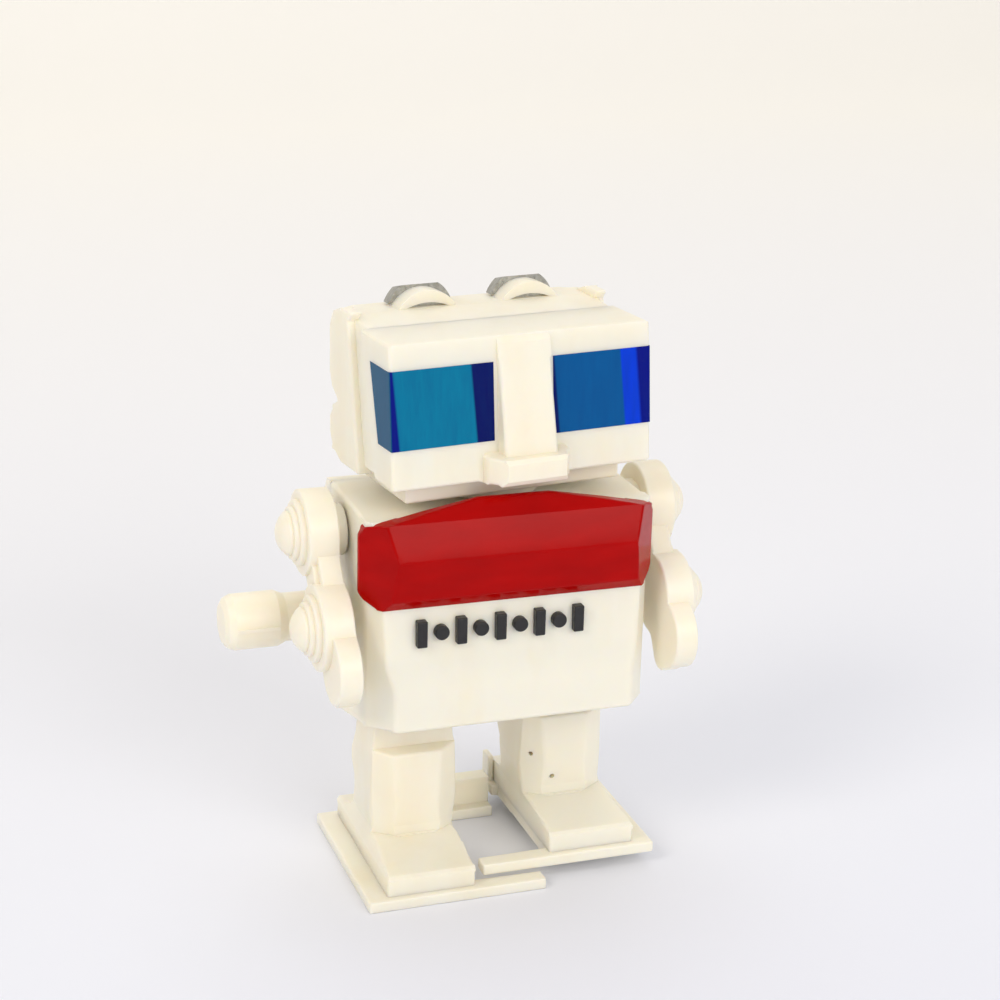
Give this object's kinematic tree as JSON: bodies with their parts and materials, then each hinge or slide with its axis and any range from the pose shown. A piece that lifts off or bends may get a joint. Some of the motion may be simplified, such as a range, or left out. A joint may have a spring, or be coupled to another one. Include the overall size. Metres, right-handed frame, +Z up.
{
  "type": "wind-up robot",
  "caption": "Moulded wind-up walking robot with a blue-windowed head, red chest panel, swinging arms, two crank-driven legs and a side winding knob.",
  "frame": {"origin": "middle of the bounding box in plan, at floor level under the right sole", "axes": "+Z up, +X to the robot's left, the torso faces -Y"},
  "size_m": [0.0786, 0.0378, 0.0963],
  "materials": {
    "ivory": "warm ivory moulding, soft gloss",
    "red": "high gloss",
    "blue": "tinted, see-through, glossy",
    "black": "hot-stamped",
    "plated": "vacuum plated",
    "steel": "bright",
    "brass": "stamped"
  },
  "bodies": {
    "torso": {"torso_front_shell": "ivory", "torso_rear_shell": "ivory", "chest_panel": "red", "chest_marks": "black", "base_plate": "ivory", "shell_screws": "steel", "base_screws": "steel", "motor_plate_right": "steel", "motor_plate_left": "steel", "motor_spacers": "brass", "motor_screws": "steel", "guide_pins": "steel", "key_bush": "ivory", "pallet_arbor": "steel"},
    "head": {"head_front_shell": "ivory", "head_rear_shell": "ivory", "window_right": "blue", "window_left": "blue", "hood_insert_right": "plated", "hood_insert_left": "plated", "head_screws": "steel", "neck_post": "ivory", "neck_washer": "steel"},
    "right_arm": {"arm_right": "ivory", "shoulder_pin_right": "steel", "shoulder_clip_right": "steel"},
    "left_arm": {"arm_left": "ivory", "shoulder_pin_left": "steel", "shoulder_clip_left": "steel"},
    "crank": {"crank_arbor": "steel", "crank_pinion": "brass", "crank_wheel": "brass", "crank_disc_right": "steel", "crank_disc_left": "steel"},
    "key": {"key_arbor": "steel", "winding_knob": "ivory", "great_wheel": "brass", "mainspring": "steel"},
    "second": {"second_arbor": "steel", "second_pinion": "brass", "second_wheel": "brass"},
    "escape": {"escape_arbor": "steel", "escape_pinion": "brass", "star_wheel": "brass"},
    "pallet": {"pallet": "brass"},
    "right_leg": {"leg_right": "ivory", "sole_right": "ivory", "sole_screws_right": "steel", "crank_bush_right": "brass"},
    "left_leg": {"leg_left": "ivory", "sole_left": "ivory", "sole_screws_left": "steel", "crank_bush_left": "brass"}
  },
  "joints": [
    {"name": "head_swivel", "type": "hinge", "parent": "torso", "child": "head", "pos_m": [0.00405, 0.00287, 0.066], "axis": [0, 0, 1], "range_deg": [-17, 3]},
    {"name": "right_arm_swing", "type": "hinge", "parent": "torso", "child": "right_arm", "pos_m": [-0.02594, 0.00237, 0.0586], "axis": [-1, 0, 0], "range_deg": [-10, 140]},
    {"name": "left_arm_swing", "type": "hinge", "parent": "torso", "child": "left_arm", "pos_m": [0.03406, 0.00237, 0.0586], "axis": [-1, 0, 0], "range_deg": [-60, 140]},
    {"name": "crank_spin", "type": "hinge", "parent": "torso", "child": "crank", "pos_m": [0.00405, -0.00213, 0.038], "axis": [1, 0, 0], "continuous": true},
    {"name": "key_spin", "type": "hinge", "parent": "torso", "child": "key", "pos_m": [0.00405, 0.00717, 0.0424], "axis": [1, 0, 0], "continuous": true},
    {"name": "second_spin", "type": "hinge", "parent": "torso", "child": "second", "pos_m": [0.00405, -0.00171, 0.04699], "axis": [1, 0, 0], "continuous": true},
    {"name": "escape_spin", "type": "hinge", "parent": "torso", "child": "escape", "pos_m": [0.00405, -0.00819, 0.0415], "axis": [1, 0, 0], "continuous": true},
    {"name": "pallet_rock", "type": "hinge", "parent": "torso", "child": "pallet", "pos_m": [0.01166, -0.00616, 0.04629], "axis": [1, 0, 0], "range_deg": [-3, 3]},
    {"name": "right_leg_pin", "type": "hinge", "parent": "crank", "child": "right_leg", "pos_m": [-0.01145, -0.00367, 0.03685], "axis": [1, 0, 0], "continuous": true},
    {"name": "left_leg_pin", "type": "hinge", "parent": "crank", "child": "left_leg", "pos_m": [0.01955, -0.00058, 0.03915], "axis": [1, 0, 0], "continuous": true}
  ],
  "couplings": [
    {"joint": "key_spin", "follows": "crank_spin", "ratio": 0.12821},
    {"joint": "second_spin", "follows": "crank_spin", "ratio": -0.38462},
    {"joint": "escape_spin", "follows": "crank_spin", "ratio": -2.5},
    {"joint": "right_leg_pin", "follows": "crank_spin", "ratio": -1},
    {"joint": "left_leg_pin", "follows": "crank_spin", "ratio": -1}
  ]
}
